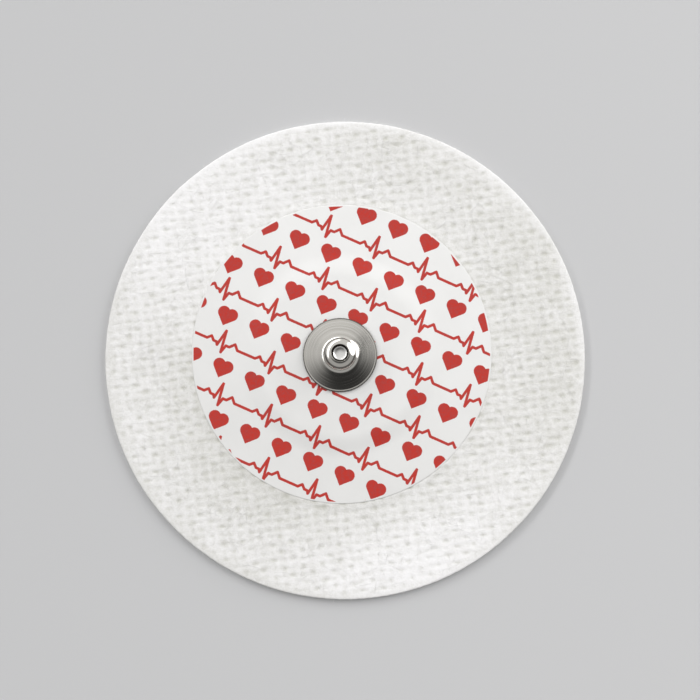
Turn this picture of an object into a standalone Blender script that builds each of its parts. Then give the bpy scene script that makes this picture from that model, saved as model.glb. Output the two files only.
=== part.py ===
"""Round monitoring electrode with a cloth backing and a metal snap stud.

Metres, +Z up. It lies with its skin side down: the backing's underside is z = 0, and the
backing's centre is the origin. +Y is the edge that shows uppermost when the stud is faced.

From the skin up: a cloth ring whose well holds a gel-soaked sponge, a sensor eyelet seated in
the sponge, a label film that bridges the well, and a drawn metal stud that grips the eyelet's
post through the film.
"""

import math

import bmesh
import bpy
from mathutils import Vector, geometry

MM = 0.001

# Gaps between neighbouring pieces
BOND_GAP = 0.02 * MM
SPONGE_CLEARANCE = 0.3 * MM
EYELET_CLEARANCE = 0.25 * MM
POST_CLEARANCE = 0.15 * MM

# Cloth backing
CLOTH_DIAMETER = 60.0 * MM
CLOTH_THICKNESS = 0.60 * MM
CLOTH_EDGE_ROUND = 0.20 * MM
WELL_DIAMETER = 21.0 * MM

# Dimples pressed into the cloth between its threads
ROW_RISE = math.radians(7.2)
ROW_PITCH = 1.0 * MM
DIMPLE_PITCH = 2.4 * MM
DIMPLE_LENGTH = 0.92 * MM
DIMPLE_WIDTH = 0.56 * MM
DIMPLE_DEPTH = 0.16 * MM
DIMPLE_BORDER = 0.35 * MM

# Label film
LABEL_DIAMETER = 37.5 * MM
LABEL_THICKNESS = 0.12 * MM
LABEL_RISE = 0.45 * MM
LABEL_STEP = 0.20 * MM
LABEL_SHOULDER = 3.4 * MM
LABEL_OFFSET = Vector((-0.42, 0.67)) * MM

# Stud, drawn from one piece of sheet metal, and its place on the label
STUD_OFFSET = Vector((-0.63, 0.42)) * MM
STUD_METAL = 0.24 * MM
STUD_HEIGHT = 3.3 * MM
FLANGE_DIAMETER = 9.3 * MM
FLANGE_ROLL = 0.13 * MM
FLANGE_DOME = 0.06 * MM
ROOT_LAND_DIAMETER = 4.8 * MM
ROOT_LAND_HEIGHT = 0.86 * MM
ROOT_FILLET = 0.42 * MM
NECK_DIAMETER = 3.4 * MM
HEAD_DIAMETER = 3.9 * MM
HEAD_LENGTH = 1.35 * MM
HEAD_CROWN = 0.82 * MM
CUP_DIAMETER = 2.22 * MM
CUP_FLOOR_DIAMETER = 1.74 * MM
CUP_DEPTH = 0.42 * MM
CUP_DISH = 0.10 * MM
CUP_LIP = 0.05 * MM

# Sensor eyelet under the label
EYELET_INSET = 0.35 * MM
EYELET_THICKNESS = 0.36 * MM
EYELET_WEB = 0.12 * MM
EYELET_SPREAD = 0.12 * MM

# Gel sponge
SPONGE_EDGE_ROUND = 0.12 * MM

# Facets round each piece, down the label's shoulder and over the stud's head and flange
CLOTH_FACETS = 72
LABEL_FACETS = 36
STUD_FACETS = 36
EYELET_FACETS = 28
SPONGE_FACETS = 36
SHOULDER_FACETS = 3
CROWN_FACETS = 5
DOME_FACETS = 3

# Heights of the stack, from the skin up
LABEL_BASE = CLOTH_THICKNESS + BOND_GAP
PLATEAU_BASE = LABEL_BASE + LABEL_RISE + LABEL_STEP
SPONGE_TOP = PLATEAU_BASE - BOND_GAP
EYELET_TOP = PLATEAU_BASE - BOND_GAP
EYELET_SEAT = EYELET_TOP - EYELET_THICKNESS - BOND_GAP
STUD_SEAT = PLATEAU_BASE + LABEL_THICKNESS + BOND_GAP

# Radii that follow from the sizes above
CLOTH_RADIUS = CLOTH_DIAMETER / 2
WELL_RADIUS = WELL_DIAMETER / 2
SPONGE_RADIUS = WELL_RADIUS - SPONGE_CLEARANCE
PLATEAU_RADIUS = SPONGE_RADIUS - SPONGE_CLEARANCE
SHOULDER_RADIUS = PLATEAU_RADIUS + LABEL_SHOULDER
LABEL_RADIUS = LABEL_DIAMETER / 2
FLANGE_RADIUS = FLANGE_DIAMETER / 2
DOME_RADIUS = FLANGE_RADIUS - 2 * FLANGE_ROLL
ROOT_LAND_RADIUS = ROOT_LAND_DIAMETER / 2
NECK_RADIUS = NECK_DIAMETER / 2
HEAD_RADIUS = HEAD_DIAMETER / 2
CUP_RADIUS = CUP_DIAMETER / 2
CUP_FLOOR_RADIUS = CUP_FLOOR_DIAMETER / 2
LIP_TURN = math.asin((CUP_RADIUS + CUP_LIP) / HEAD_RADIUS)
NECK_BORE = NECK_RADIUS - STUD_METAL
POST_RADIUS = NECK_BORE - POST_CLEARANCE
LABEL_HOLE_RADIUS = POST_RADIUS + POST_CLEARANCE
EYELET_RADIUS = FLANGE_RADIUS - EYELET_INSET


def clear_scene():
    for thing in list(bpy.data.objects):
        bpy.data.objects.remove(thing, do_unlink=True)


def finish_material(name, colour, roughness, metallic=0.0):
    material = bpy.data.materials.new(name)
    material.use_nodes = True
    shader = material.node_tree.nodes["Principled BSDF"]
    shader.inputs["Base Color"].default_value = (*colour, 1.0)
    shader.inputs["Roughness"].default_value = roughness
    shader.inputs["Metallic"].default_value = metallic
    material.diffuse_color = (*colour, 1.0)
    return material


def add_object(name, bm, material):
    """Turns the mesh into the named object, shaded smooth except at its creases."""
    bmesh.ops.recalc_face_normals(bm, faces=bm.faces)
    mesh = bpy.data.meshes.new(name)
    bm.to_mesh(mesh)
    bm.free()
    mesh.materials.append(material)
    mesh.shade_smooth()
    mesh.set_sharp_from_angle(angle=math.radians(35))
    piece = bpy.data.objects.new(name, mesh)
    bpy.context.collection.objects.link(piece)
    return piece


def arc(centre, radius, start, end, steps):
    """Points (radius from the axis, height) on an arc between two angles in degrees."""
    angles = [math.radians(start + (end - start) * i / steps) for i in range(steps + 1)]
    return [(centre[0] + radius * math.cos(a), centre[1] + radius * math.sin(a)) for a in angles]


def circle(centre, radius, count):
    """Points of a circle seen from above."""
    angles = [math.tau * i / count for i in range(count)]
    return [centre + radius * Vector((math.cos(a), math.sin(a))) for a in angles]


def add_ring(bm, centre, radius, height, count):
    """One ring of a turned piece, or a single point where it meets the axis."""
    if radius == 0:
        return [bm.verts.new((*centre, height))] * count
    return [bm.verts.new((*point, height)) for point in circle(centre, radius, count)]


def bridge_rings(bm, ring, other):
    for i in range(len(ring)):
        corners = [ring[i - 1], ring[i], other[i], other[i - 1]]
        bm.faces.new(dict.fromkeys(corners))


def turned(bm, outline, count, centre_at, closed=False):
    """Turns an outline of (radius, height) points. A closed one makes a ring, with no point on the axis."""
    rings = [add_ring(bm, centre_at(radius), radius, height, count) for radius, height in outline]
    if closed:
        rings.append(rings[0])
    for ring, other in zip(rings, rings[1:]):
        bridge_rings(bm, ring, other)


def on_stud_axis(radius):
    return STUD_OFFSET


def dimple_centres():
    """Rows that rise to the right, each second one shifted by half a pitch, on the bare cloth."""
    along = Vector((math.cos(ROW_RISE), math.sin(ROW_RISE)))
    across = Vector((-along.y, along.x))
    outermost = CLOTH_RADIUS - CLOTH_EDGE_ROUND - DIMPLE_BORDER - DIMPLE_LENGTH / 2
    innermost = LABEL_RADIUS - DIMPLE_LENGTH / 2
    rows = math.ceil(CLOTH_RADIUS / ROW_PITCH)
    columns = math.ceil(CLOTH_RADIUS / DIMPLE_PITCH)
    for row in range(-rows, rows + 1):
        shift = 0.5 * (row % 2)
        for column in range(-columns, columns + 1):
            centre = along * (column + shift) * DIMPLE_PITCH + across * row * ROW_PITCH
            on_bare_cloth = (centre - LABEL_OFFSET).length > innermost
            if centre.length < outermost and on_bare_cloth:
                yield centre, along, across


def dimpled_face(bm, rim, well):
    """The cloth's upper face between its rim and the well, as two lists of points seen from above.

    It returns the two rings of vertices that the rim and the well became.
    """
    points = []
    heights = []
    creases = []

    def add_loop(loop, height):
        first = len(points)
        points.extend(loop)
        heights.extend([height] * len(loop))
        creases.extend((first + i, first + (i + 1) % len(loop)) for i in range(len(loop)))

    add_loop(rim, CLOTH_THICKNESS)
    add_loop(well, CLOTH_THICKNESS)
    for centre, along, across in dimple_centres():
        half_length = along * DIMPLE_LENGTH / 2
        half_width = across * DIMPLE_WIDTH / 2
        mouth = [centre + half_length, centre + half_width, centre - half_length, centre - half_width]
        add_loop(mouth, CLOTH_THICKNESS)
        points.append(centre)
        heights.append(CLOTH_THICKNESS - DIMPLE_DEPTH)

    in_mm = [point / MM for point in points]
    flat, _, triangles, sources, _, _ = geometry.delaunay_2d_cdt(in_mm, creases, [], 0, 1e-6, True)
    names = [source[0] for source in sources]
    made = {name: bm.verts.new((*points[name], heights[name])) for name in names}
    for triangle in triangles:
        middle = sum((flat[i] for i in triangle), Vector((0, 0))) / 3
        if (middle * MM - STUD_OFFSET).length > WELL_RADIUS:
            bm.faces.new([made[names[i]] for i in triangle])
    for i in range(len(rim) + len(well)):
        if i not in made:
            raise ValueError("a point of the rim or the well was merged away")
    rim_ring = [made[i] for i in range(len(rim))]
    well_ring = [made[len(rim) + i] for i in range(len(well))]
    return rim_ring, well_ring


def cloth_backing():
    """Cloth ring with a dimpled upper face, a softened cut edge and the well through its middle."""
    bm = bmesh.new()
    centre = Vector((0, 0))
    edge_centre = (CLOTH_RADIUS - CLOTH_EDGE_ROUND, CLOTH_THICKNESS - CLOTH_EDGE_ROUND)
    edge = arc(edge_centre, CLOTH_EDGE_ROUND, 90, 0, 2)
    rim, well = dimpled_face(
        bm,
        circle(centre, edge[0][0], CLOTH_FACETS),
        circle(STUD_OFFSET, WELL_RADIUS, CLOTH_FACETS),
    )
    rings = [rim]
    for radius, height in [*edge[1:], (CLOTH_RADIUS, 0)]:
        rings.append(add_ring(bm, centre, radius, height, CLOTH_FACETS))
    rings.append(add_ring(bm, STUD_OFFSET, WELL_RADIUS, 0, CLOTH_FACETS))
    rings.append(well)
    for ring, other in zip(rings, rings[1:]):
        bridge_rings(bm, ring, other)
    return add_object("cloth_backing", bm, finish_material("cloth", (0.80, 0.79, 0.76), 0.95))


def share_between(start, radius, end):
    """0 up to the start, 1 from the end on, and evenly between them."""
    return min(max((radius - start) / (end - start), 0), 1)


def label_centre(radius):
    """The label is cut a little off the stud's axis, while its raised middle follows that axis."""
    return STUD_OFFSET.lerp(LABEL_OFFSET, share_between(SHOULDER_RADIUS, radius, LABEL_RADIUS))


def film_height(radius):
    """Height of the film's underside: a low dome outside the flange, with a step at the sponge's edge."""
    dome = (1 + math.cos(math.pi * share_between(FLANGE_RADIUS, radius, LABEL_RADIUS))) / 2
    step = (1 + math.cos(math.pi * share_between(PLATEAU_RADIUS, radius, SHOULDER_RADIUS))) / 2
    return LABEL_BASE + LABEL_RISE * dome + LABEL_STEP * step


def label_film():
    """Film disc that lies on the cloth at its rim and domes over the sponge."""
    bm = bmesh.new()
    radii = [LABEL_HOLE_RADIUS, FLANGE_RADIUS, (FLANGE_RADIUS + PLATEAU_RADIUS) / 2]
    radii += [PLATEAU_RADIUS + LABEL_SHOULDER * i / SHOULDER_FACETS for i in range(SHOULDER_FACETS + 1)]
    radii += [(SHOULDER_RADIUS + LABEL_RADIUS) / 2, LABEL_RADIUS]
    underside = [(radius, film_height(radius)) for radius in radii]
    upper = [(radius, height + LABEL_THICKNESS) for radius, height in reversed(underside)]
    turned(bm, underside + upper, LABEL_FACETS, label_centre, closed=True)
    return add_object("label_film", bm, finish_material("printed_film", (0.84, 0.83, 0.81), 0.35))


def flange_height(radius):
    """Height above the stud's seat of its slightly domed flange, from the root land to the rolled rim."""
    share = (radius - ROOT_LAND_RADIUS) / (DOME_RADIUS - ROOT_LAND_RADIUS)
    fall = ROOT_LAND_HEIGHT - 2 * FLANGE_ROLL
    return ROOT_LAND_HEIGHT - (fall - FLANGE_DOME) * share - FLANGE_DOME * share**2


def crown(turn):
    """Point on the head's rounded top at an angle from the stud's axis. It is highest at the cup's lip."""
    return HEAD_RADIUS * math.sin(turn), STUD_HEIGHT - HEAD_CROWN * (math.cos(LIP_TURN) - math.cos(turn))


def stud_outer_skin():
    """From the bottom of the cup in the head, over the head and down the flange, to the rolled rim."""
    top = STUD_HEIGHT
    cup_foot = top - CUP_DEPTH
    head_foot = top - HEAD_LENGTH
    head_step = HEAD_RADIUS - NECK_RADIUS
    fillet_centre = (NECK_RADIUS + ROOT_FILLET, ROOT_LAND_HEIGHT + ROOT_FILLET)
    skin = [(CUP_FLOOR_RADIUS * share, cup_foot - CUP_DISH * (1 - share**2)) for share in (0, 0.5, 1)]
    skin += arc((CUP_RADIUS + CUP_LIP, top - CUP_LIP), CUP_LIP, 150, 90, 2)
    for i in range(1, CROWN_FACETS + 1):
        skin.append(crown(LIP_TURN + (math.pi / 2 - LIP_TURN) * i / CROWN_FACETS))
    skin += [(HEAD_RADIUS, head_foot + 1.5 * head_step), (NECK_RADIUS, head_foot)]
    skin += arc(fillet_centre, ROOT_FILLET, 180, 270, 3)
    for i in range(DOME_FACETS + 1):
        radius = ROOT_LAND_RADIUS + (DOME_RADIUS - ROOT_LAND_RADIUS) * i / DOME_FACETS
        skin.append((radius, flange_height(radius)))
    skin += arc((FLANGE_RADIUS - FLANGE_ROLL, FLANGE_ROLL), FLANGE_ROLL, 100, -90, 4)
    return skin


def stud_inner_skin():
    """From the rim's inner side up into the head, one metal thickness inside the outer skin."""
    top = STUD_HEIGHT
    head_bore = HEAD_RADIUS - STUD_METAL
    head_foot = top - HEAD_LENGTH
    cup_wall = CUP_RADIUS + STUD_METAL / 2
    _, head_side = crown(math.pi / 2)
    ceiling_radius, ceiling_height = crown(math.asin((head_bore + cup_wall) / 2 / HEAD_RADIUS))
    return [
        (DOME_RADIUS, flange_height(DOME_RADIUS) - STUD_METAL),
        (ROOT_LAND_RADIUS, ROOT_LAND_HEIGHT - STUD_METAL),
        (NECK_BORE, ROOT_LAND_HEIGHT),
        (NECK_BORE, head_foot),
        (head_bore, head_foot + STUD_METAL + HEAD_RADIUS - NECK_RADIUS),
        (head_bore, head_side),
        (ceiling_radius, ceiling_height - STUD_METAL),
        (cup_wall, top - CUP_DEPTH),
        (CUP_FLOOR_RADIUS, top - CUP_DEPTH - STUD_METAL),
        (0, top - CUP_DEPTH - CUP_DISH - STUD_METAL),
    ]


def snap_stud():
    """Drawn metal stud: rolled flange, root land, neck, and a head with a dished cup in its top."""
    bm = bmesh.new()
    outline = [(r, STUD_SEAT + z) for r, z in stud_outer_skin() + stud_inner_skin()]
    turned(bm, outline, STUD_FACETS, on_stud_axis)
    return add_object("snap_stud", bm, finish_material("stud_metal", (0.62, 0.61, 0.58), 0.3, 1.0))


def sensor_eyelet():
    """Coated eyelet: its flange lies in the sponge, and its post is spread inside the stud's head."""
    bm = bmesh.new()
    rim_height = EYELET_THICKNESS - EYELET_WEB
    head_foot = STUD_SEAT + STUD_HEIGHT - HEAD_LENGTH
    head_bore_foot = head_foot + STUD_METAL + HEAD_RADIUS - NECK_RADIUS
    cup_underside = STUD_SEAT + STUD_HEIGHT - CUP_DEPTH - CUP_DISH - STUD_METAL
    post_top = cup_underside - POST_CLEARANCE
    outline = [
        (0, post_top),
        (POST_RADIUS, post_top),
        (POST_RADIUS + EYELET_SPREAD, (post_top + head_bore_foot) / 2),
        (POST_RADIUS, head_foot),
        (POST_RADIUS, EYELET_TOP),
        (EYELET_RADIUS - rim_height / 2, EYELET_TOP),
        (EYELET_RADIUS, EYELET_TOP - rim_height / 2),
        (EYELET_RADIUS - rim_height / 2, EYELET_TOP - rim_height),
        (EYELET_RADIUS / 2, EYELET_TOP - EYELET_THICKNESS),
        (0, EYELET_TOP - EYELET_THICKNESS),
    ]
    turned(bm, outline, EYELET_FACETS, on_stud_axis)
    return add_object("sensor_eyelet", bm, finish_material("sensor_coat", (0.45, 0.44, 0.43), 0.5, 0.6))


def gel_sponge():
    """Gel-soaked sponge that fills the well, crowned under the film, with a seat for the eyelet."""
    bm = bmesh.new()
    seat_radius = EYELET_RADIUS + EYELET_CLEARANCE
    edge_height = film_height(SPONGE_RADIUS) - BOND_GAP
    outline = [
        (0, EYELET_SEAT),
        (seat_radius, EYELET_SEAT),
        (seat_radius, SPONGE_TOP),
        (SPONGE_RADIUS - SPONGE_EDGE_ROUND, edge_height),
        (SPONGE_RADIUS, edge_height - SPONGE_EDGE_ROUND),
        (SPONGE_RADIUS, SPONGE_EDGE_ROUND),
        (SPONGE_RADIUS - SPONGE_EDGE_ROUND, 0),
        (0, 0),
    ]
    turned(bm, outline, SPONGE_FACETS, on_stud_axis)
    return add_object("gel_sponge", bm, finish_material("gel_foam", (0.78, 0.80, 0.80), 0.25))


def main():
    clear_scene()
    cloth_backing()
    gel_sponge()
    sensor_eyelet()
    label_film()
    snap_stud()


main()
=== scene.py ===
"""Looks of a round cloth electrode, lying flat with its snap stud up.

Lengths on the part are millimetres: mesh_piece turns them into the frame's metres, and the materials
read object coordinates in millimetres. The studio's are metres. Angles are degrees, counter-clockwise
from +X.
"""

import math

import bpy
import numpy as np
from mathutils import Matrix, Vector, noise


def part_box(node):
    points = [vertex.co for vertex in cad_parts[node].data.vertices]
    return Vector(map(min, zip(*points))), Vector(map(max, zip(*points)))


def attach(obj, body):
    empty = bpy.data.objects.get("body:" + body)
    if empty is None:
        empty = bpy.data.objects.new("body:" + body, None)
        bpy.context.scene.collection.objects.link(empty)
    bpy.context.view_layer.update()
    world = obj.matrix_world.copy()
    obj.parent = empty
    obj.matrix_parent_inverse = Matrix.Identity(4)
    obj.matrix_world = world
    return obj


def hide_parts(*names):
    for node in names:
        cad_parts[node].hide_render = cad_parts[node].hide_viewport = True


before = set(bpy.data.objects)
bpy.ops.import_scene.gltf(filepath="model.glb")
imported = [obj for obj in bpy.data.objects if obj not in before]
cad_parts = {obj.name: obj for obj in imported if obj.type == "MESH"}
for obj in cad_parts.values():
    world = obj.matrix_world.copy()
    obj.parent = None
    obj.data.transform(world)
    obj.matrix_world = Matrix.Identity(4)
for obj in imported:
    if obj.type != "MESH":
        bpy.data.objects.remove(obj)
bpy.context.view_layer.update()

MM = 0.001
UNITS_PER_METRE = 1000.0


def node_box(node):
    """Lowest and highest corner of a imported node, in millimetres."""
    low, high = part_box(node)
    return np.array(low) / MM, np.array(high) / MM


def round_node(node):
    """Centre, radius, lowest and highest point of a node that is round seen from above."""
    low, high = node_box(node)
    return (low + high)[:2] / 2, (high - low)[0] / 2, low[2], high[2]


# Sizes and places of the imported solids
CLOTH_CENTRE, CLOTH_RADIUS, CLOTH_BASE, CLOTH_TOP = round_node("cloth_backing")
LABEL_CENTRE, LABEL_RADIUS, LABEL_BASE, LABEL_TOP = round_node("label_film")
STUD_CENTRE, STUD_RADIUS, STUD_SEAT, STUD_TOP = round_node("snap_stud")
PAD_CENTRE, PAD_RADIUS, _, PAD_TOP = round_node("gel_sponge")
_, EYELET_RADIUS, EYELET_BASE, _ = round_node("sensor_eyelet")

# Cloth
PAD_GAP = 0.3
WELL_RADIUS = PAD_RADIUS + PAD_GAP
CLOTH_EDGE_ROUND = 0.14
CLOTH_EDGE_DROP = 0.02
CLOTH_EDGE_SOFT = 0.45
ROW_RISE = 7.2
ROW_PITCH = 1.0
DIMPLE_PITCH = 2.4
DIMPLE_LENGTH = 0.43
DIMPLE_WIDTH = 0.25
DIMPLE_DEPTH = 0.062
WEAK_DIMPLE = 0.38
DIMPLE_BORDER = 1.1
LABEL_BED = 0.09
LABEL_BED_WIDTH = 1.3
LABEL_BED_START = 0.2
BILLOW = 0.018
CLOTH_SEGMENTS = 1080
CLOTH_RINGS = 78

# Label film
LABEL_THICKNESS = 0.12
LABEL_PLATEAU = PAD_RADIUS - 0.3
LABEL_SHOULDER = LABEL_PLATEAU + 3.1
LABEL_STEP = 0.31
LABEL_SLOPE = 1.6
LABEL_HOLE = 1.46
LABEL_SEGMENTS = 288
LABEL_RIM_ROUND = 0.05

# Print on the label
PRINT_FALL = -24.0
PRINT_ROW = 3.1
HEART_PITCH = 4.3
HEART_SIDE = 1.53
TRACE_PERIOD = 6.6
TRACE_STROKE = 0.355
INK_BORDER = 0.16
INK_SOFT_EDGE = 0.035
INK_GRAIN = 0.09

# Stud, with the sizes of its solid
STUD_METAL = 0.24
FLANGE_ROLL = 0.13
ROOT_RADIUS = 2.34
ROOT_HEIGHT = 0.90
ROOT_TILT = 20.0
ROOT_REACH = 0.6
NECK_RADIUS = 1.7
HEAD_RADIUS = 1.95
HEAD_LENGTH = 1.35
CROWN_ROUND = 2.25
CROWN_TILT = 19.0
HEAD_EDGE_ROUND = 0.22
CUP_RADIUS = 1.07
CUP_FLOOR_RADIUS = 0.84
CUP_DEPTH = 0.40
CUP_DISH = 0.17
CUP_LIP = 0.05
STUD_SEGMENTS = 240


class Shade:
    """An output socket. Arithmetic on it adds Math nodes to its tree."""

    def __init__(self, nodes, socket):
        self.nodes = nodes
        self.socket = socket

    def math(self, operation, *values):
        return self.nodes.math(operation, self, *values)

    def __add__(self, other):
        return self.math("ADD", other)

    def __radd__(self, other):
        return self.math("ADD", other)

    def __sub__(self, other):
        return self.math("SUBTRACT", other)

    def __rsub__(self, other):
        return self.nodes.math("SUBTRACT", other, self)

    def __mul__(self, other):
        return self.math("MULTIPLY", other)

    def __rmul__(self, other):
        return self.math("MULTIPLY", other)

    def __truediv__(self, other):
        return self.math("DIVIDE", other)

    def __pow__(self, other):
        return self.math("POWER", other)

    def __abs__(self):
        return self.math("ABSOLUTE")

    def smallest(self, other):
        return self.math("MINIMUM", other)

    def largest(self, other):
        return self.math("MAXIMUM", other)

    def ramp(self, start, end):
        """0 below start and 1 above end, with a smooth step between. They may be the other way round."""
        inputs = {"Value": self, "From Min": start, "From Max": end}
        return self.nodes.add("ShaderNodeMapRange", {"interpolation_type": "SMOOTHSTEP"}, inputs)


class Nodes:
    """The node tree of a material or the world."""

    def __init__(self, tree):
        self.tree = tree

    def add(self, kind, settings=None, inputs=None, output=0):
        node = self.tree.nodes.new(kind)
        for name, value in (settings or {}).items():
            setattr(node, name, value)
        for name, value in (inputs or {}).items():
            self.feed(node.inputs[name], value)
        return Shade(self, node.outputs[output])

    def feed(self, socket, value):
        if isinstance(value, Shade):
            self.tree.links.new(value.socket, socket)
        else:
            socket.default_value = value

    def math(self, operation, *values):
        return self.add("ShaderNodeMath", {"operation": operation}, dict(enumerate(values)))

    def vector_math(self, operation, inputs, output=0):
        return self.add("ShaderNodeVectorMath", {"operation": operation}, inputs, output)

    def mix(self, share, first, second):
        """Colour mixed from the first, at share 0, to the second, at share 1."""
        first, second = [(*c, 1.0) if isinstance(c, tuple) else c for c in (first, second)]
        return self.add("ShaderNodeMix", {"data_type": "RGBA"}, {0: share, 6: first, 7: second}, 2)

    def place(self):
        """Object coordinates in millimetres."""
        metres = self.add("ShaderNodeTexCoord", output="Object")
        return self.vector_math("SCALE", {0: metres, "Scale": UNITS_PER_METRE})

    def moved(self, place, offset=(0, 0, 0), turn=0.0, scale=(1, 1, 1)):
        """The place less an offset, turned by an angle about Z and then scaled along its own axes."""
        near = self.vector_math("SUBTRACT", {0: place, 1: offset})
        inputs = {0: near, "Angle": math.radians(turn)}
        turned = self.add("ShaderNodeVectorRotate", {"rotation_type": "Z_AXIS"}, inputs)
        return self.vector_math("MULTIPLY", {0: turned, 1: scale})

    def parts(self, vector):
        first = self.add("ShaderNodeSeparateXYZ", inputs={0: vector})
        return [Shade(self, socket) for socket in first.socket.node.outputs]

    def noise(self, place, size, detail=2.0, roughness=0.5, distortion=0.0):
        """Soft noise around 0.5, with features about size across."""
        inputs = {"Vector": place, "Scale": 1 / size, "Detail": detail, "Roughness": roughness}
        inputs["Distortion"] = distortion
        return self.add("ShaderNodeTexNoise", inputs=inputs)

    def patch(self, place, centre, size):
        """1 at a point seen from above, falling softly to 0 at a distance of size."""
        x, y, _ = self.parts(self.moved(place, offset=(*centre, 0)))
        return ((x ** 2 + y ** 2) ** 0.5).ramp(size, 0)

    def bump(self, height, depth, below=None):
        """Relief from a height of 0 to 1 that is depth millimetres deep."""
        inputs = {"Height": height, "Distance": depth * MM}
        if below:
            inputs["Normal"] = below
        return self.add("ShaderNodeBump", inputs=inputs)


class Finish(Nodes):
    """A material with one Principled shader."""

    def __init__(self, name, **constants):
        self.material = bpy.data.materials.new(name)
        self.material.use_nodes = True
        super().__init__(self.material.node_tree)
        self.shader = self.tree.nodes["Principled BSDF"]
        for socket, value in constants.items():
            self.set(socket.replace("_", " "), value)

    def set(self, socket, value):
        if isinstance(value, tuple):
            value = (*value, 1.0)
        self.feed(self.shader.inputs[socket], value)


# Fibre streaks in the cloth: their direction and their share
STREAKS = ((7, 0.30), (55, 0.25), (-38, 0.25), (96, 0.20))

# Patches of painted light and painted shade on the cloth: centre, radius and strength
PAINTED_LIGHT_PATCHES = (((-20, 19), 20, 0.30), ((10, -29), 20, 0.42))
PAINTED_SHADE_PATCHES = (
    ((-15, -16), 15, 0.10), ((24, 13), 19, 0.32), ((28, -5), 15, 0.34), ((9, 28), 13, 0.25),
)
# Light and dark ends of the cloth's colour; the dark end serves both its darker fibres and its painted shade
CLOTH_WHITE = (0.95, 0.940, 0.943)
CLOTH_SHADE = (0.58, 0.573, 0.522)


def bonded_cloth():
    """White non-woven cloth: fibre streaks in several directions, painted grey-green shade in the dimples,
    and painted light and shade at its edge, by the label and in broad patches.
    """
    finish = Finish("white_cloth", Roughness=0.92)
    place = finish.place()
    pressed = finish.add("ShaderNodeAttribute", {"attribute_name": "pressed"}, output="Fac")
    streaks = 0.5
    for turn, share in STREAKS:
        along = finish.moved(place, turn=-turn, scale=(0.16, 1, 1))
        streak = finish.noise(along, 0.11, detail=3.0, roughness=0.65, distortion=0.4)
        streaks = streaks + (streak - 0.5) * (2.0 * share)
    cloud = finish.noise(place, 2.2, detail=3.0, roughness=0.6)
    tuft = finish.noise(place, 0.45, detail=2.0)
    speckle = finish.noise(place, 0.17, detail=3.0, roughness=0.7)
    x, y, _ = finish.parts(place)
    from_edge = CLOTH_RADIUS - (x ** 2 + y ** 2) ** 0.5
    from_label = ((x - LABEL_CENTRE[0]) ** 2 + (y - LABEL_CENTRE[1]) ** 2) ** 0.5 - LABEL_RADIUS
    low_side = (x * 0.35 + y).ramp(4, -18)
    # Painted light along the cut edge: a painted highlight on the upper-right side and painted shade on the
    # lower-left side
    rim = from_edge.ramp(1.5, 0.2) * ((x * 0.5 + y * 0.87).ramp(-12, 22) * 0.48 - 0.24)
    # Painted shadow of the label on the cloth's lower side, and painted shade in the seam all round the
    # label
    painted_light = rim - low_side * from_label.ramp(8.5, 0) * 0.30 - from_label.ramp(1.8, 0) * 0.1
    # Broad patches of painted light, then broad patches of painted shade
    for centre, radius, strength in PAINTED_LIGHT_PATCHES:
        painted_light = painted_light + finish.patch(place, centre, radius) * strength
    for centre, radius, strength in PAINTED_SHADE_PATCHES:
        painted_light = painted_light - finish.patch(place, centre, radius) * strength
    # The dimples and the hollows between the ribs get painted grey-green shade, and the patches, edge and
    # seam above get painted light and shade
    shade = pressed * 0.75 + (cloud - 0.5) * 0.7 - painted_light
    shade = shade + (0.5 - streaks) * 0.72 + (0.5 - tuft) * 0.56 + (0.5 - speckle) * 0.85
    finish.set("Base Color", finish.mix(shade.ramp(-0.66, 1.34), CLOTH_WHITE, CLOTH_SHADE))
    fibres = finish.bump(streaks, 0.05)
    finish.set("Normal", finish.bump(tuft, 0.03, fibres))
    finish.set("Sheen Weight", 0.06)
    finish.set("Sheen Roughness", 0.5)
    return finish.material


def adhesive_side():
    """Underside of the cloth: a clear tacky coat in which the fibres show."""
    finish = Finish("adhesive_side", Roughness=0.35)
    place = finish.place()
    coat = finish.noise(place, 0.9, detail=4.0, roughness=0.6)
    fibres = finish.noise(finish.moved(place, turn=-20, scale=(0.2, 1, 1)), 0.16, detail=3.0)
    mottle = (coat * 0.6 + fibres * 0.4).ramp(0.3, 0.7)
    finish.set("Base Color", finish.mix(mottle, (0.70, 0.69, 0.64), (0.80, 0.79, 0.75)))
    finish.set("Roughness", 0.28 + coat * 0.3)
    finish.set("Normal", finish.bump(coat, 0.03, finish.bump(fibres, 0.02)))
    return finish.material


def heart_distance(u, v):
    """Distance outside a heart, below 0 within: a square on its corner with a round on each upper side."""
    half = HEART_SIDE / 2
    lift = v + HEART_SIDE * 0.12
    p = (lift + u) * math.sqrt(0.5)
    q = (lift - u) * math.sqrt(0.5)
    square = abs(p).largest(abs(q)) - half
    right = (((p - half) ** 2 + q ** 2) ** 0.5) - half
    left = ((p ** 2 + (q - half) ** 2) ** 0.5) - half
    return square.smallest(right).smallest(left)


# One heartbeat along its row: places and heights of its corners, and how far it hangs below the row's middle
BEAT = (
    (0, 0), (1.2, 0), (1.65, 0.45), (2.1, 0), (2.5, 0), (2.7, -0.32), (3.1, 1.75), (3.5, -1.0),
    (3.78, 0), (4.25, 0), (4.8, 0.6), (5.35, 0), (TRACE_PERIOD, 0),
)
TRACE_SINK = 0.35


def trace_distance(u, v):
    """Distance outside the stroke of the heartbeat trace."""
    nearest = TRACE_PERIOD ** 2
    for start, end in zip(BEAT, BEAT[1:]):
        along, up = end[0] - start[0], end[1] - start[1]
        du = u - start[0]
        dv = v + TRACE_SINK - start[1]
        share = ((du * along + dv * up) / (along**2 + up**2)).largest(0).smallest(1)
        nearest = ((du - share * along) ** 2 + (dv - share * up) ** 2).smallest(nearest)
    return nearest ** 0.5 - TRACE_STROKE / 2


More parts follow.
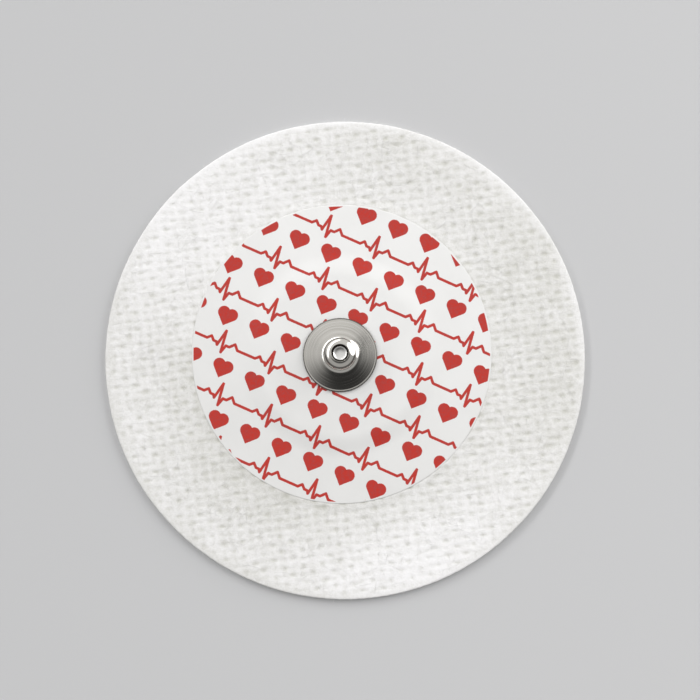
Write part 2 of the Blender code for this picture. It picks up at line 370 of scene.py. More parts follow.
def ink_mask(nodes, place):
    """1 where there is ink: rows of hearts and rows of heartbeat traces, one after the other."""
    centre = (*LABEL_CENTRE, 0)
    u, v, _ = nodes.parts(nodes.moved(place, offset=centre, turn=-PRINT_FALL))
    row = (v / PRINT_ROW).math("FLOOR")
    in_row = v - (row + 0.5) * PRINT_ROW
    hearts = row.math("FLOORED_MODULO", 2)
    pair = (row / 2).math("FLOOR")
    heart_u = (u + pair * (HEART_PITCH * 0.5)).math("WRAP", HEART_PITCH / 2, -HEART_PITCH / 2)
    trace_u = (u + pair * (TRACE_PERIOD * 0.36)).math("WRAP", TRACE_PERIOD, 0.0)
    heart = heart_distance(heart_u, in_row)
    trace = trace_distance(trace_u, in_row)
    grain = nodes.noise(place, 0.09, detail=2.0) - 0.5
    edge = hearts * heart + (1 - hearts) * trace + grain * INK_GRAIN
    x, y, _ = nodes.parts(nodes.moved(place, offset=centre))
    reach = (x ** 2 + y ** 2) ** 0.5
    ink_end = LABEL_RADIUS - INK_BORDER
    return edge.ramp(INK_SOFT_EDGE, -INK_SOFT_EDGE) * reach.ramp(ink_end, ink_end - 0.06)


def printed_film():
    """White satin film with red ink on it, and painted light that makes the film lighter towards the top."""
    finish = Finish("printed_white_film", Specular_IOR_Level=0.32)
    place = finish.place()
    ink = ink_mask(finish, place)
    mottle = finish.noise(place, 0.35, detail=3.0, roughness=0.7)
    cloud = finish.noise(place, 5.0, detail=2.0)
    x, y, _ = finish.parts(place)
    # Random tone of the film, with painted light that makes it lighter towards the top and a little towards
    # the right
    tone_and_painted_light = (cloud.ramp(0.3, 0.7) + (x * 0.25 + y).ramp(-18, 18) * 2.5) / 3.5
    film = finish.mix(tone_and_painted_light, (0.755, 0.75, 0.735), (0.835, 0.83, 0.818))
    red = finish.mix(mottle.ramp(0.32, 0.68), (0.42, 0.013, 0.006), (0.53, 0.030, 0.018))
    finish.set("Base Color", finish.mix(ink * (0.90 + mottle * 0.16).smallest(1.0), film, red))
    finish.set("Roughness", 0.40 + (mottle - 0.5) * 0.1 + ink * 0.08)
    ripple = finish.noise(place, 0.7, detail=3.0, roughness=0.6)
    finish.set("Normal", finish.bump(ripple, 0.008))
    return finish.material


BRIGHT_METAL = (0.595, 0.577, 0.540)
DULL_METAL = (0.475, 0.459, 0.424)
CUP_FLOOR_METAL = (0.74, 0.73, 0.71)
# Colour of the painted shade on the stud
PAINTED_SHADE_METAL = (0.06, 0.057, 0.05)


def ringed_metal():
    """Bright plated metal with fine rings and a little duller here and there, with painted shade in its
    cup's wall, at the flange's outer edge and along the head's edge.
    """
    finish = Finish("bright_stud_metal", Metallic=1.0)
    place = finish.place()
    x, y, z = finish.parts(finish.moved(place, offset=(*STUD_CENTRE, 0)))
    reach = (x ** 2 + y ** 2) ** 0.5 + z * 0.6
    wander = finish.noise(place, 2.5, detail=1.0)
    inputs = {"W": reach * 3.6 + wander * 0.9, "Scale": 1.0, "Detail": 3.0, "Roughness": 0.65}
    rings = finish.add("ShaderNodeTexNoise", {"noise_dimensions": "1D"}, inputs)
    dull = finish.noise(place, 0.9, detail=3.0)
    rings = 0.5 + (rings - 0.5) * (0.25 + finish.noise(place, 3.0, detail=1.0).ramp(0.35, 0.65) * 0.9)
    head = (z - (STUD_SEAT + ROOT_HEIGHT)).ramp(-0.02, 0.1)
    from_axis = (x ** 2 + y ** 2) ** 0.5
    in_cup = (z - (STUD_TOP - 0.7)).ramp(0, 0.1)
    cup_floor = in_cup * from_axis.ramp(CUP_FLOOR_RADIUS + 0.02, CUP_FLOOR_RADIUS)
    # Painted shade, near black, in the cup's wall and in a thin band at the flange's outer edge
    cup_wall = from_axis.ramp(CUP_FLOOR_RADIUS - 0.03, CUP_FLOOR_RADIUS + 0.03)
    cup_wall = in_cup * cup_wall * from_axis.ramp(CUP_RADIUS + CUP_LIP, CUP_RADIUS) * 0.95
    outer_edge = from_axis.ramp(STUD_RADIUS - 0.20, STUD_RADIUS - 0.10) * 0.8
    on_head = (z - (STUD_TOP - HEAD_LENGTH)).ramp(0, 0.1)
    # Painted shade along the head's edge, wider in the lower half and left out on the side that faces the
    # key light
    key_lit_side = (x * 0.82 + y * 0.57).ramp(1.2, 1.7)
    head_edge = (from_axis + y.ramp(0.6, -0.6) * 0.12).ramp(HEAD_RADIUS - 0.12, HEAD_RADIUS - 0.07)
    head_edge = on_head * head_edge * (1 - key_lit_side) * 0.78
    bright = finish.mix(rings.ramp(0.28, 0.72), DULL_METAL, BRIGHT_METAL)
    bright = finish.mix(cup_floor, bright, CUP_FLOOR_METAL)
    dark = cup_wall.largest(outer_edge).largest(head_edge)
    finish.set("Base Color", finish.mix(dark, bright, PAINTED_SHADE_METAL))
    uneven = (dull - 0.5) * 0.05 + (rings - 0.5) * 0.10
    finish.set("Roughness", 0.12 - head * 0.05 + cup_floor * 0.20 + uneven)
    finish.set("Normal", finish.bump(rings, 0.008))
    return finish.material


def coated_eyelet():
    """Grey conductive coat of the sensor eyelet."""
    finish = Finish("silver_coat", Metallic=0.6)
    place = finish.place()
    grain = finish.noise(place, 0.12, detail=4.0, roughness=0.7)
    finish.set("Base Color", finish.mix(grain.ramp(0.3, 0.7), (0.34, 0.33, 0.32), (0.50, 0.49, 0.47)))
    finish.set("Roughness", 0.42 + grain * 0.2)
    finish.set("Normal", finish.bump(grain, 0.01))
    return finish.material


def wet_sponge():
    """Open-celled sponge full of clear gel."""
    finish = Finish("gel_in_sponge", Roughness=0.2, Coat_Weight=0.6, Coat_Roughness=0.08)
    place = finish.place()
    inputs = {"Vector": place, "Scale": 2.2}
    cells = finish.add("ShaderNodeTexVoronoi", {"feature": "DISTANCE_TO_EDGE"}, inputs)
    cloud = finish.noise(place, 1.6, detail=3.0)
    walls = cells.ramp(0.16, 0.0)
    milky = walls * 0.6 + cloud * 0.4
    finish.set("Base Color", finish.mix(milky, (0.60, 0.64, 0.64), (0.84, 0.85, 0.84)))
    finish.set("Normal", finish.bump(walls, 0.04, finish.bump(cloud, 0.05)))
    return finish.material


def fibre_finish():
    """Single polyester fibres."""
    finish = Finish("loose_fibre", Roughness=0.6)
    place = finish.place()
    cloud = finish.noise(place, 1.5).ramp(0.3, 0.7)
    finish.set("Base Color", finish.mix(cloud, (0.80, 0.795, 0.78), (0.90, 0.895, 0.885)))
    return finish.material


def mesh_piece(name, points, faces, material, sharp=40.0):
    """Piece on the one body, from points in millimetres."""
    mesh = bpy.data.meshes.new(name)
    mesh.from_pydata((np.asarray(points) * MM).tolist(), [], faces)
    mesh.materials.append(material)
    mesh.shade_smooth()
    mesh.set_sharp_from_angle(angle=math.radians(sharp))
    piece = bpy.data.objects.new(name, mesh)
    bpy.context.collection.objects.link(piece)
    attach(piece, "root")
    return piece


def ring_faces(rings, segments, closed):
    """Quads between rings of points, the last ring joined to the first if closed."""
    steps = np.arange(segments)
    following = (steps + 1) % segments
    faces = []
    for ring in range(rings if closed else rings - 1):
        first = ring * segments
        other = ((ring + 1) % rings) * segments
        quads = np.stack([first + steps, first + following, other + following, other + steps], axis=1)
        faces.extend(quads.tolist())
    return faces


def polar(radius, segments, centre):
    """Points of a circle, or of a rim whose radius varies along it."""
    angles = np.arange(segments) * math.tau / segments
    unit = np.stack([np.cos(angles), np.sin(angles)], axis=1)
    return np.asarray(centre) + np.reshape(radius, (-1, 1)) * unit


def arc(centre, radius, start, end, steps):
    """Points (radius from the axis, height) on an arc."""
    angles = np.radians(np.linspace(start, end, steps + 1))
    return list(zip(centre[0] + radius * np.cos(angles), centre[1] + radius * np.sin(angles)))


def soft_noise(points, size, seed):
    """Smooth noise between about -1 and 1 at points seen from above."""
    return np.array([noise.noise(Vector((x / size, y / size, seed))) for x, y in points])


def row_axes(points):
    """Places along and across the cloth's rows."""
    rise = math.radians(ROW_RISE)
    x, y = points[:, 0], points[:, 1]
    return x * math.cos(rise) + y * math.sin(rise), y * math.cos(rise) - x * math.sin(rise)


LATTICE_REACH = 80
lattice_draw = np.random.default_rng(11).random((2 * LATTICE_REACH, 2 * LATTICE_REACH, 5))


def pressing(points):
    """How far the cloth is pressed down, from 0 on its lands to about 1 in the middle of a dimple."""
    along, across = row_axes(points)
    across = across + 0.16 * soft_noise(points, 7.0, 3.0) + 0.07 * soft_noise(points, 0.6, 14.0)
    along = along + 0.14 * soft_noise(points, 0.7, 15.0)
    nearest_row = np.rint(across / ROW_PITCH).astype(int)
    lands = np.ones(len(points))
    for row in (nearest_row - 1, nearest_row, nearest_row + 1):
        shift = 0.5 * (row % 2)
        nearest = np.rint(2 * (along / DIMPLE_PITCH - shift)).astype(int)
        for half in (nearest - 1, nearest, nearest + 1):
            draw = lattice_draw[row + LATTICE_REACH, half + LATTICE_REACH]
            middle = (half / 2 + shift) * DIMPLE_PITCH + 0.42 * (draw[:, 0] - 0.5)
            height = row * ROW_PITCH + 0.26 * (draw[:, 1] - 0.5)
            length = DIMPLE_LENGTH * (0.75 + 0.6 * draw[:, 2])
            width = DIMPLE_WIDTH * (0.75 + 0.5 * draw[:, 3])
            strength = np.where(half % 2 == 0, 1.0, WEAK_DIMPLE) * (0.45 + 0.75 * draw[:, 4])
            nearness = ((along - middle) / length) ** 2 + ((across - height) / width) ** 2
            lands *= 1 - np.minimum(strength, 1) * np.exp(-nearness)
    return 1 - lands


def cloth_relief(points):
    """Height of the cloth's upper face and how far it is pressed, at points seen from above."""
    pressed = pressing(points)
    reach = np.linalg.norm(points, axis=1)
    bare = np.clip((CLOTH_RADIUS - reach) / DIMPLE_BORDER, 0, 1)
    bare = bare * bare * (3 - 2 * bare)
    pressed = pressed * bare
    along, across = row_axes(points)
    tufts = soft_noise(points, 0.36, 8.0)
    strays = soft_noise(np.stack([along / 0.24, across / 0.9], axis=1), 1.0, 12.0)
    grains = soft_noise(points, 0.26, 21.0)
    billow = soft_noise(points, 3.5, 5.0)
    rib = 0.5 - 0.5 * np.cos(math.tau * (along + 0.10 * strays) / (DIMPLE_PITCH / 2))
    ridge = 0.5 - 0.5 * np.cos(math.tau * (across + 0.10 * tufts) / ROW_PITCH)
    raised = (rib * 0.7 + ridge * 0.3) * bare
    soft = np.clip((reach - CLOTH_RADIUS + CLOTH_EDGE_ROUND + CLOTH_EDGE_SOFT) / CLOTH_EDGE_SOFT, 0, 1)
    height = CLOTH_TOP - CLOTH_EDGE_DROP * soft**2 - DIMPLE_DEPTH * pressed + BILLOW * billow
    height += 0.010 * (raised - 0.5) + 0.010 * tufts + (0.010 * strays + 0.006 * grains) * bare
    beside = np.linalg.norm(points - LABEL_CENTRE, axis=1) - LABEL_RADIUS
    bed_fall = 0.5 + 0.5 * np.cos(math.pi * np.clip(beside / LABEL_BED_WIDTH, 0, 1))
    height += LABEL_BED * bed_fall * np.clip(beside / LABEL_BED_START + 1, 0, 1)
    # The second value, which also counts the hollows between ribs and ridges, is painted as shade in the
    # cloth's colour
    return height, pressed + 0.15 * (1 - raised) * bare


def cloth_sheet():
    """Cloth ring with a dimpled face, a soft cut edge and the well through its middle."""
    rim_turns = np.arange(CLOTH_SEGMENTS) * math.tau / CLOTH_SEGMENTS
    rim_circle = np.stack([np.cos(rim_turns), np.sin(rim_turns)], axis=1)
    ragged = 0.035 * soft_noise(rim_circle * 30, 0.5, 2.0) + 0.03 * soft_noise(rim_circle * 30, 4.0, 6.0)
    face_radius = CLOTH_RADIUS - CLOTH_EDGE_ROUND
    hidden_radius = LABEL_RADIUS - 1.0
    # Each ring has its points seen from above, its height, and whether it lies on the dimpled face
    rings = [(polar(WELL_RADIUS, CLOTH_SEGMENTS, STUD_CENTRE), CLOTH_TOP, False)]
    rings.append((polar(hidden_radius - 1.0, CLOTH_SEGMENTS, CLOTH_CENTRE), CLOTH_TOP, False))
    for share in np.linspace(0, 1, CLOTH_RINGS):
        radius = hidden_radius + (face_radius - hidden_radius) * share + ragged * share
        rings.append((polar(radius, CLOTH_SEGMENTS, CLOTH_CENTRE), CLOTH_TOP, True))
    for turn in (30, 60, 90):
        radius = face_radius + CLOTH_EDGE_ROUND * math.sin(math.radians(turn))
        height = CLOTH_TOP - CLOTH_EDGE_DROP - CLOTH_EDGE_ROUND * (1 - math.cos(math.radians(turn)))
        rings.append((polar(radius + ragged, CLOTH_SEGMENTS, CLOTH_CENTRE), height, False))
    rings.append((polar(CLOTH_RADIUS - 0.02 + ragged * 0.5, CLOTH_SEGMENTS, CLOTH_CENTRE), 0.2, False))
    rings.append((polar(CLOTH_RADIUS - 0.08, CLOTH_SEGMENTS, CLOTH_CENTRE), CLOTH_BASE, False))
    rings.append((polar(WELL_RADIUS, CLOTH_SEGMENTS, STUD_CENTRE), CLOTH_BASE, False))

    points = []
    pressed = []
    for flat, height, on_face in rings:
        if on_face:
            level, press = cloth_relief(flat)
        else:
            level, press = np.full(len(flat), height), np.zeros(len(flat))
        points.append(np.column_stack([flat, level]))
        pressed.append(press)
    faces = ring_faces(len(rings), CLOTH_SEGMENTS, closed=True)
    piece = mesh_piece("cloth_sheet", np.concatenate(points), faces, bonded_cloth(), 60.0)
    attribute = piece.data.attributes.new("pressed", "FLOAT", "POINT")
    attribute.data.foreach_set("value", np.concatenate(pressed).astype(np.float32))
    piece.data.materials.append(adhesive_side())
    first_under = (len(rings) - 2) * CLOTH_SEGMENTS
    under = np.zeros(len(faces), dtype=np.int32)
    under[first_under:first_under + CLOTH_SEGMENTS] = 1
    piece.data.polygons.foreach_set("material_index", under)
    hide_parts("cloth_backing")
    return piece


def turned_piece(name, outline, segments, centre_at, material, closed=False, sharp=40.0):
    """Piece turned from (radius, height) points. Unless the outline is closed, its ends lie on the axis."""
    points = []
    ringed = outline if closed else outline[1:-1]
    for radius, height in ringed:
        flat = polar(radius, segments, centre_at(radius))
        points.append(np.column_stack([flat, np.full(segments, height)]))
    faces = ring_faces(len(ringed), segments, closed)
    points = np.concatenate(points)
    if not closed:
        last = (len(ringed) - 1) * segments
        poles = [(*centre_at(0), outline[0][1]), (*centre_at(0), outline[-1][1])]
        for k in range(segments):
            following = (k + 1) % segments
            faces.append([len(points), following, k])
            faces.append([len(points) + 1, last + k, last + following])
        points = np.concatenate([points, poles])
    return mesh_piece(name, points, faces, material, sharp)


def share_between(start, radius, end):
    """0 up to the start, 1 from the end on, and evenly between them."""
    return min(max((radius - start) / (end - start), 0), 1)


def label_centre(radius):
    """The label is cut a little off the stud's axis, while its raised middle follows that axis."""
    share = share_between(LABEL_SHOULDER, radius, LABEL_RADIUS)
    return STUD_CENTRE * (1 - share) + LABEL_CENTRE * share


def film_height(radius):
    """Height of the film's underside: a low dome outside the flange, with a step at the sponge's edge."""
    rise = LABEL_TOP - LABEL_THICKNESS - LABEL_BASE - LABEL_STEP
    dome = 1 - share_between(STUD_RADIUS, radius, LABEL_RADIUS) ** LABEL_SLOPE
    step = (1 + math.cos(math.pi * share_between(LABEL_PLATEAU, radius, LABEL_SHOULDER))) / 2
    return LABEL_BASE + rise * dome + LABEL_STEP * step


def label_outline():
    """Closed outline of the film: from the hole out along the underside and back on top."""
    radii = [LABEL_HOLE, 3.0, *np.linspace(STUD_RADIUS, LABEL_RADIUS - 0.1, 72)]
    under = [(radius, film_height(radius)) for radius in radii]
    upper = [(radius, height + LABEL_THICKNESS) for radius, height in reversed(under)]
    rim_centre = (LABEL_RADIUS - LABEL_RIM_ROUND, LABEL_BASE + LABEL_THICKNESS - LABEL_RIM_ROUND)
    rim = arc(rim_centre, LABEL_RIM_ROUND, 0, 90, 3)
    return under + [(LABEL_RADIUS - 0.01, LABEL_BASE - 0.015)] + rim + upper


def label_disc():
    """Label film, with slight waves where it is drawn over the sponge."""
    piece = turned_piece(
        "label_disc", label_outline(), LABEL_SEGMENTS, label_centre, printed_film(), closed=True
    )
    points = np.empty(len(piece.data.vertices) * 3)
    piece.data.vertices.foreach_get("co", points)
    points = points.reshape(-1, 3) / MM
    flat = points[:, :2]
    reach = np.linalg.norm(flat - LABEL_CENTRE, axis=1)
    loose = np.clip((LABEL_RADIUS - reach) / 3.0, 0, 1) * np.clip((reach - 4.6) / 2.0, 0, 1)
    points[:, 2] += loose * (0.020 * soft_noise(flat, 5.0, 1.0) + 0.008 * soft_noise(flat, 1.8, 4.0))
    piece.data.vertices.foreach_set("co", (points * MM).ravel())
    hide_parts("label_film")
    return piece


def flange_height(radius):
    """Height of the flange above the stud's seat. It falls evenly, and more steeply near its root."""
    width = STUD_RADIUS - 2 * FLANGE_ROLL - ROOT_RADIUS
    fall = ROOT_HEIGHT - 2 * FLANGE_ROLL
    steep = (math.tan(math.radians(ROOT_TILT)) - fall / width) / (1 / ROOT_REACH - 1 / width)
    out = radius - ROOT_RADIUS
    return ROOT_HEIGHT - (fall - steep) * out / width - steep * (1 - math.exp(-out / ROOT_REACH))


def stud_outline():
    """Outline of the drawn shell: outer skin from the cup to the rolled rim, then inner skin back up."""
    top = STUD_TOP - STUD_SEAT
    cup_floor = top - CUP_DEPTH
    head_foot = top - HEAD_LENGTH
    head_step = HEAD_RADIUS - NECK_RADIUS
    dome_radius = STUD_RADIUS - 2 * FLANGE_ROLL
    root_turn = math.radians(ROOT_TILT)
    fillet = (ROOT_RADIUS - NECK_RADIUS) / (1 - math.sin(root_turn))
    fillet_centre = (NECK_RADIUS + fillet, ROOT_HEIGHT + fillet * math.cos(root_turn))
    skin = []
    for share in np.linspace(0, 1, 16):
        skin.append((CUP_FLOOR_RADIUS * share, cup_floor - CUP_DISH * (1 - share**2.6)))
    skin += arc((CUP_RADIUS + CUP_LIP, top - CUP_LIP), CUP_LIP, 150, 90 - CROWN_TILT, 5)
    crown_turn = math.radians(90 - CROWN_TILT)
    lip_radius, lip_height = skin[-1]
    crown_axis = lip_radius - CROWN_ROUND * math.cos(crown_turn)
    crown_centre = (crown_axis, lip_height - CROWN_ROUND * math.sin(crown_turn))
    edge_axis = HEAD_RADIUS - HEAD_EDGE_ROUND
    edge_turn = math.acos((edge_axis - crown_axis) / (CROWN_ROUND - HEAD_EDGE_ROUND))
    edge_height = crown_centre[1] + (CROWN_ROUND - HEAD_EDGE_ROUND) * math.sin(edge_turn)
    skin += arc(crown_centre, CROWN_ROUND, 90 - CROWN_TILT, math.degrees(edge_turn), 12)[1:]
    skin += arc((edge_axis, edge_height), HEAD_EDGE_ROUND, math.degrees(edge_turn), 0, 10)[1:]
    skin += [(HEAD_RADIUS, head_foot + 1.6 * head_step), (HEAD_RADIUS - 0.03, head_foot + 1.3 * head_step)]
    skin += [(NECK_RADIUS + 0.03, head_foot + 0.1 * head_step), (NECK_RADIUS, head_foot)]
    skin += arc(fillet_centre, fillet, 182, 270 - ROOT_TILT, 20)
    skin += [(radius, flange_height(radius)) for radius in np.linspace(ROOT_RADIUS + 0.06, dome_radius, 36)]
    skin += arc((STUD_RADIUS - FLANGE_ROLL, FLANGE_ROLL), FLANGE_ROLL, 96, -90, 14)
    bore = NECK_RADIUS - STUD_METAL
    head_bore = HEAD_RADIUS - STUD_METAL
    cup_wall = CUP_RADIUS + STUD_METAL / 2
    ceiling = (head_bore + cup_wall) / 2
    skin += [
        (dome_radius, flange_height(dome_radius) - STUD_METAL),
        (ROOT_RADIUS, ROOT_HEIGHT - STUD_METAL),
        (bore, ROOT_HEIGHT),
        (bore, head_foot),
        (head_bore, head_foot + STUD_METAL + head_step),
        (head_bore, edge_height),
        (ceiling, top - CROWN_ROUND * (1 - math.cos(math.asin(ceiling / CROWN_ROUND))) - STUD_METAL),
        (cup_wall, cup_floor),
        (CUP_FLOOR_RADIUS, cup_floor - STUD_METAL),
        (0, cup_floor - STUD_METAL - CUP_DISH),
    ]
    return [(radius, STUD_SEAT + height) for radius, height in skin]


def stud_shell():
    """Drawn metal stud with its cupped head."""
    metal = ringed_metal()
    outline = stud_outline()
    piece = turned_piece("stud_shell", outline, STUD_SEGMENTS, lambda radius: STUD_CENTRE, metal)
    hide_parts("snap_stud")
    return piece


def gel_pad():
    """Round sponge full of gel: a wet, slightly uneven face below and the eyelet's seat above."""
    segments = 160
    seat_radius = EYELET_RADIUS + 0.25
    seat_height = EYELET_BASE - 0.02
    edge = 0.12
    edge_height = film_height(PAD_RADIUS) - 0.02
    outline = [(0, seat_height), (seat_radius, seat_height), (seat_radius, PAD_TOP)]
    outline += arc((PAD_RADIUS - edge, edge_height - edge), edge, 90, 0, 3)
    outline += arc((PAD_RADIUS - edge, edge), edge, 0, -90, 4)
    outline += [(radius, 0) for radius in np.linspace(PAD_RADIUS - 0.3, 0.15, 60)] + [(0, 0)]
    foam = wet_sponge()
    piece = turned_piece("gel_pad", outline, segments, lambda radius: PAD_CENTRE, foam, sharp=50.0)
    points = np.empty(len(piece.data.vertices) * 3)
    piece.data.vertices.foreach_get("co", points)
    points = points.reshape(-1, 3) / MM
    under = points[:, 2] < 0.01
    flat = points[:, :2]
    points[:, 2] += under * (0.05 + 0.03 * soft_noise(flat, 1.1, 9.0) + 0.02 * soft_noise(flat, 0.4, 7.0))
    piece.data.vertices.foreach_set("co", (points * MM).ravel())
    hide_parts("gel_sponge")
    return piece


def fibre_mesh(name, paths, radii, material):
    """Thin three-sided tubes along paths, an array of fibres by points by three numbers."""
    count, steps, _ = paths.shape
    tangents = np.gradient(paths, axis=1)
    tangents /= np.linalg.norm(tangents, axis=2, keepdims=True)
    side = np.cross(tangents, (0.13, 0.07, 1.0))
    side /= np.linalg.norm(side, axis=2, keepdims=True)
    upward = np.cross(side, tangents)
    taper = np.minimum(1, 0.25 + 2.5 * np.sin(np.linspace(0, math.pi, steps)))
    thick = radii[:, None] * taper[None, :]
    corners = []
    for turn in (90, 210, 330):
        a = math.radians(turn)
        corners.append(paths + thick[..., None] * (side * math.cos(a) + upward * math.sin(a)))
    points = np.stack(corners, axis=2).reshape(-1, 3)
    faces = []
    for fibre in range(count):
        first = fibre * steps * 3
        for step in range(steps - 1):
            here = first + step * 3
            for k in range(3):
                following = (k + 1) % 3
                faces.append([here + k, here + following, here + 3 + following, here + 3 + k])
        last = first + (steps - 1) * 3
        faces.append([first + 2, first + 1, first])
        faces.append([last, last + 1, last + 2])
    return mesh_piece(name, points, faces, material, 180.0)


def fibre_paths(draw, starts, headings, lengths, steps, wander):
    """Paths seen from above that set out along their headings, in degrees, and wander."""
    turns = np.radians(headings)[:, None] + np.cumsum(draw.normal(0, wander, (len(starts), steps)), axis=1)
    stride = (lengths / (steps - 1))[:, None, None]
    strides = stride * np.stack([np.cos(turns), np.sin(turns)], axis=2)
    strides[:, 0] = 0
    return starts[:, None, :] + np.cumsum(strides, axis=1)


def surface_fibres(material):
    """Loose fibres that lie on the face of the cloth."""
    draw = np.random.default_rng(23)
    count, steps = 1700, 9
    reach = np.sqrt(draw.uniform((LABEL_RADIUS - 0.4) ** 2, (CLOTH_RADIUS - 0.5) ** 2, count))
    angle = draw.uniform(0, math.tau, count)
    starts = np.stack([reach * np.cos(angle), reach * np.sin(angle)], axis=1)
    headings = draw.uniform(0, 360, count)
    lengths = draw.uniform(0.8, 3.2, count)
    flat = fibre_paths(draw, starts, headings, lengths, steps, 0.12)
    on_label = np.linalg.norm(flat - LABEL_CENTRE, axis=2).min(axis=1) < LABEL_RADIUS + 0.1
    over_edge = np.linalg.norm(flat, axis=2).max(axis=1) > CLOTH_RADIUS - 0.15
    flat = flat[~(on_label | over_edge)]
    level, pressed = cloth_relief(flat.reshape(-1, 2))
    lift = 0.004 + 0.5 * DIMPLE_DEPTH * pressed + draw.uniform(0, 0.010, len(level))
    paths = np.concatenate([flat, (level + lift).reshape(flat.shape[0], steps, 1)], axis=2)
    return fibre_mesh("surface_fibres", paths, draw.uniform(0.007, 0.012, len(paths)), material)


def edge_fuzz(material):
    """Ends of fibres that stand out from the cut edge."""
    draw = np.random.default_rng(41)
    count, steps = 260, 8
    angle = draw.uniform(0, 360, count)
    bearing = np.radians(angle)
    starts = (CLOTH_RADIUS - 0.12) * np.stack([np.cos(bearing), np.sin(bearing)], axis=1)
    lengths = 0.2 + 0.45 * draw.random(count) ** 3
    flat = fibre_paths(draw, starts, angle + draw.normal(0, 48, count), lengths, steps, 0.30)
    root = draw.uniform(0.12, 0.55, count)[:, None]
    climb = draw.normal(0, 0.12, count)[:, None]
    rise = root + climb * np.linspace(0, 1, steps)
    height = np.clip(rise + draw.normal(0, 0.01, (count, steps)), 0.03, CLOTH_TOP + 0.3)
    paths = np.concatenate([flat, height[..., None]], axis=2)
    return fibre_mesh("edge_fuzz", paths, draw.uniform(0.006, 0.011, count), material)


def out_direction(azimuth, zenith):
    """Unit vector that points out at an azimuth and an angle from straight up."""
    a, z = math.radians(azimuth), math.radians(zenith)
    return Vector((math.cos(a) * math.sin(z), math.sin(a) * math.sin(z), math.cos(z)))


def softbox(name, azimuth, zenith, distance, width, height, radiance):
    """Oval area light that faces the stud, with its brightness given as a radiance."""
    light = bpy.data.lights.new(name, "AREA")
    light.shape = "ELLIPSE"
    light.size = width
    light.size_y = height
    light.energy = math.pi * (math.pi / 4 * width * height) * radiance
    lamp = bpy.data.objects.new(name, light)
    out = out_direction(azimuth, zenith)
    lamp.location = out * distance
    lamp.rotation_euler = out.to_track_quat("Z", "Y").to_euler()
    bpy.context.collection.objects.link(lamp)


# Studio light: azimuths, levels with 1 for white, and the key light's place and size
BRIGHT_SIDE = 103.0
WORLD_DARK = 0.045
WORLD_SIDE = 0.78
WORLD_BRIGHTEST = 0.18
HORIZON_GLOW = 0.58
OVERHEAD_GLOW = 0.20
BAND_MIDDLE = 145.0
BAND_LIGHT = 6.5
BAND_LEAN = 0.20
KEY_AZIMUTH = 26.0
KEY_ZENITH = 65.0
KEY_DISTANCE = 0.60
KEY_WIDTH = 0.64
KEY_HEIGHT = 0.54
KEY_LIGHT = 2.73
KEY_FRAME_AZIMUTH = 2.0
BACKDROP = (0.62, 0.62, 0.625)


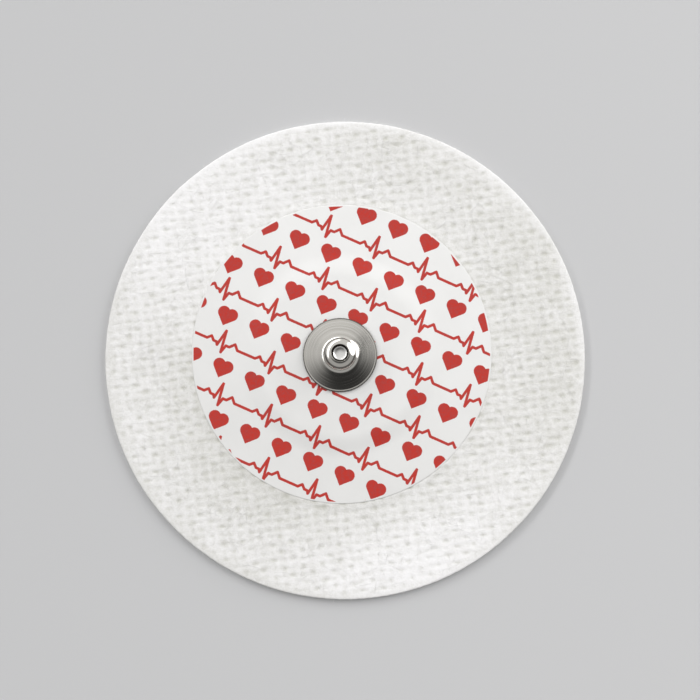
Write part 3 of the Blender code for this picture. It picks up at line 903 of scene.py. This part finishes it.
def studio_world():
    """Pale room, brighter on one side, with a band of light across it. It is plain to the camera."""
    world = bpy.data.worlds.new("studio")
    world.use_nodes = True
    nodes = Nodes(world.node_tree)
    direction = nodes.add("ShaderNodeTexCoord", output="Generated")
    to_right, _, upward = nodes.parts(direction)

    def toward(azimuth):
        """How far the direction points to an azimuth, as a cosine."""
        return nodes.vector_math("DOT_PRODUCT", {0: direction, 1: out_direction(azimuth, 90)}, "Value")

    bright = toward(BRIGHT_SIDE)
    side = bright.ramp(-0.48, 0.30) * WORLD_SIDE + bright.ramp(0.35, 0.65) * WORLD_BRIGHTEST + WORLD_DARK
    key_way = toward(KEY_FRAME_AZIMUTH) / (1 - upward ** 2).largest(0.0001) ** 0.5
    key_frame = key_way.ramp(0.55, 0.92) * upward.ramp(0.828, 0.785) * 0.8
    side = side * (1 - key_frame)
    level = side.largest(upward.ramp(0.83, 0.66) * HORIZON_GLOW) + upward.ramp(0.93, 0.99) * OVERHEAD_GLOW
    band_height = upward + to_right * BAND_LEAN
    band = band_height.ramp(0.22, 0.30) * band_height.ramp(0.44, 0.36) * toward(BAND_MIDDLE).ramp(0.43, 0.83)
    level = level * upward.ramp(0.04, 0.17) + band * BAND_LIGHT
    seen = nodes.add("ShaderNodeLightPath", output="Is Camera Ray")
    room = nodes.add("ShaderNodeCombineXYZ", inputs={0: level, 1: level, 2: level})
    colour = nodes.mix(seen, room, BACKDROP)
    nodes.feed(nodes.tree.nodes["Background"].inputs["Color"], colour)
    bpy.context.scene.world = world


FLOOR_REACH = 3.0
FLOOR_DROP = 0.00002


def floor():
    """Plain pale floor just under the part."""
    finish = Finish("floor", Roughness=0.7)
    cloud = finish.noise(finish.place(), 300.0)
    finish.set("Base Color", finish.mix(cloud, (0.555, 0.555, 0.56), (0.565, 0.565, 0.57)))
    mesh = bpy.data.meshes.new("floor")
    corners = [(x * FLOOR_REACH, y * FLOOR_REACH, 0) for x, y in ((-1, -1), (1, -1), (1, 1), (-1, 1))]
    mesh.from_pydata(corners, [], [(0, 1, 2, 3)])
    mesh.materials.append(finish.material)
    ground = bpy.data.objects.new("floor", mesh)
    ground.location.z = -FLOOR_DROP
    bpy.context.collection.objects.link(ground)


CAMERA_LENS = 180.0
CAMERA_ELEVATION = 84.8
CAMERA_DISTANCE = 0.4378
AIM = Vector((0.61, 1.12, 0.8)) * MM


def camera():
    """Looks down on the stud from the photograph's angle."""
    data = bpy.data.cameras.new("camera")
    data.lens = CAMERA_LENS
    data.clip_start = 0.01
    data.clip_end = 20.0
    viewer = bpy.data.objects.new("camera", data)
    e = math.radians(CAMERA_ELEVATION)
    back = Vector((0, -math.cos(e), math.sin(e)))
    viewer.location = AIM + back * CAMERA_DISTANCE
    viewer.rotation_euler = back.to_track_quat("Z", "Y").to_euler()
    bpy.context.collection.objects.link(viewer)
    bpy.context.scene.camera = viewer


def main():
    camera()
    sheet = cloth_sheet()
    fibre = fibre_finish()
    fibres = surface_fibres(fibre)
    fuzz = edge_fuzz(fibre)
    gel_pad()
    label_disc()
    stud_shell()
    bpy.data.objects["sensor_eyelet"].material_slots[0].material = coated_eyelet()
    area = math.pi * (CLOTH_RADIUS**2 - WELL_RADIUS**2) * MM**2
    side = 2 * CLOTH_RADIUS * MM
    floor()
    softbox("key_softbox", KEY_AZIMUTH, KEY_ZENITH, KEY_DISTANCE, KEY_WIDTH, KEY_HEIGHT, KEY_LIGHT)
    studio_world()
    bpy.context.scene.view_settings.view_transform = "Standard"


main()
